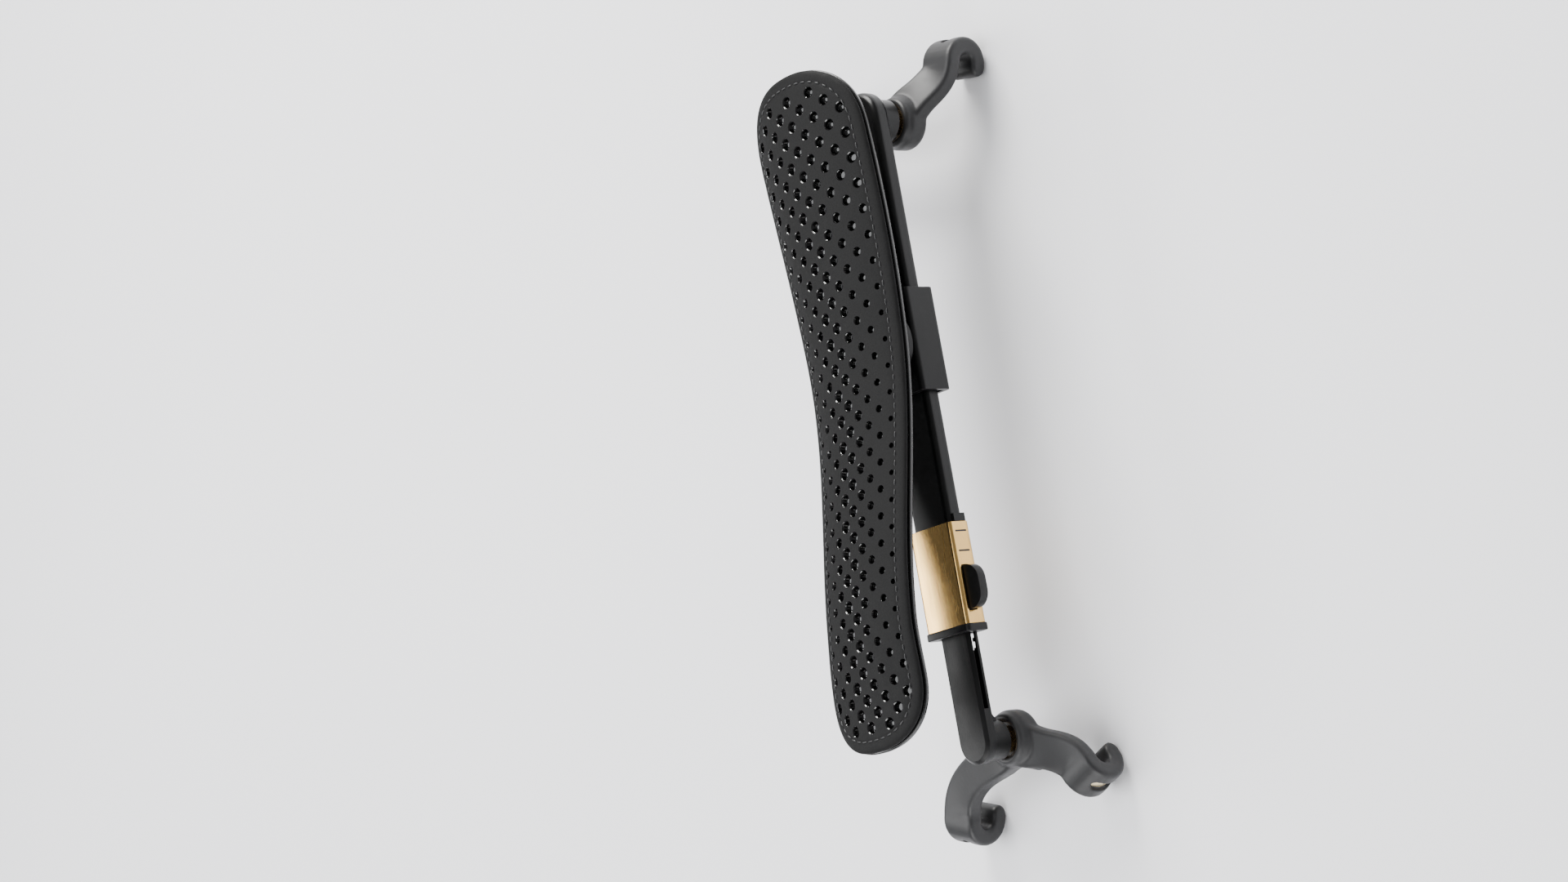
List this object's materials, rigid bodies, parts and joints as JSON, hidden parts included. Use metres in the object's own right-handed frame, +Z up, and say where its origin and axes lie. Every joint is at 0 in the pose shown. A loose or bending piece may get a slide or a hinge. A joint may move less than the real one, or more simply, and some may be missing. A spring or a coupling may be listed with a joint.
{
  "type": "violin shoulder rest",
  "caption": "Adjustable shoulder rest for a violin: a sliding, swivelling padded plate on an extending bar with hooked rubber forks.",
  "frame": {"origin": "middle of the footprint, at the lowest point of the hooks, which face the instrument", "axes": "+X along the bar towards the shoulder end (the upper leg), +Y across towards the instrument's neck, +Z up from the instrument's back to the padded surface"},
  "size_m": [0.2176, 0.0683, 0.0603],
  "materials": {
    "black_bar": "satin",
    "brass": "satin",
    "brass_sleeve": "polished",
    "nylon": "matte",
    "black_button": "satin",
    "steel": "brushed",
    "spring_steel": "bright",
    "black_arm": "fine texture",
    "gilt_core": "satin",
    "grip_rubber": "soft matte",
    "black_clamp": "satin",
    "black_plate": "glossy",
    "foam": "soft",
    "leather": "matte suede"
  },
  "bodies": {
    "bar": {"main_bar": "black_bar", "upper_insert": "brass", "brass_sleeve": "brass_sleeve", "sleeve_liner": "nylon", "sleeve_end_cap": "black_bar", "button_springs": "spring_steel"},
    "lock": {"lock_button": "black_button", "lock_pawl": "steel"},
    "arm": {"extension_arm": "black_arm", "arm_stop_pin": "steel", "lower_insert": "brass"},
    "upper_leg": {"upper_stud": "brass", "upper_fork_clip": "steel"},
    "upper_fork": {"upper_fork_core": "gilt_core", "upper_fork_grip": "grip_rubber"},
    "lower_leg": {"lower_stud": "brass", "lower_fork_clip": "steel"},
    "lower_fork": {"lower_fork_core": "gilt_core", "lower_fork_grip": "grip_rubber"},
    "carriage": {"slider_clamp": "black_clamp", "clamp_liner": "nylon", "pivot_pin": "steel", "pivot_washer": "steel"},
    "clamp_knob": {"clamp_screw": "brass"},
    "pad": {"swivel_head": "black_clamp", "pivot_bush": "brass", "head_screws": "steel", "pad_plate": "black_plate", "pad_foam": "foam", "pad_leather": "leather"}
  },
  "joints": [
    {"name": "width_slide", "type": "slide", "parent": "bar", "child": "arm", "axis": [-1, 0, 0], "range_m": [-0.014, 0.015]},
    {"name": "lock_press", "type": "slide", "parent": "bar", "child": "lock", "axis": [0, 1, 0], "range_m": [0, 0.0018], "stiffness_N_per_m": 600, "springref_m": -0.003, "deforming": ["button_springs"]},
    {"name": "upper_leg_height", "type": "slide", "parent": "bar", "child": "upper_leg", "axis": [0, 0, -1], "range_m": [-0.0008, 0.0048]},
    {"name": "upper_fork_turn", "type": "hinge", "parent": "upper_leg", "child": "upper_fork", "pos_m": [0.08725, -0.0112, 0.02], "axis": [0, 0, -1], "range_deg": [-361, 2161]},
    {"name": "lower_leg_height", "type": "slide", "parent": "arm", "child": "lower_leg", "axis": [0, 0, -1], "range_m": [-0.0008, 0.0048]},
    {"name": "lower_fork_turn", "type": "hinge", "parent": "lower_leg", "child": "lower_fork", "pos_m": [-0.08275, -0.0112, 0.02], "axis": [0, 0, -1], "range_deg": [-361, 2161]},
    {"name": "pad_slide", "type": "slide", "parent": "bar", "child": "carriage", "axis": [1, 0, 0], "range_m": [-0.03, 0.035]},
    {"name": "clamp_screw_turn", "type": "hinge", "parent": "carriage", "child": "clamp_knob", "pos_m": [0.02385, -0.0022, 0.032], "axis": [0, 1, 0], "range_deg": [-360, 0]},
    {"name": "pad_swivel", "type": "hinge", "parent": "carriage", "child": "pad", "pos_m": [0.02385, -0.0112, 0.038], "axis": [0, 0, 1], "range_deg": [-12, 12]}
  ],
  "couplings": [
    {"joint": "upper_fork_turn", "follows": "upper_leg_height", "rad_per_m": 7854},
    {"joint": "lower_fork_turn", "follows": "lower_leg_height", "rad_per_m": 7854}
  ]
}
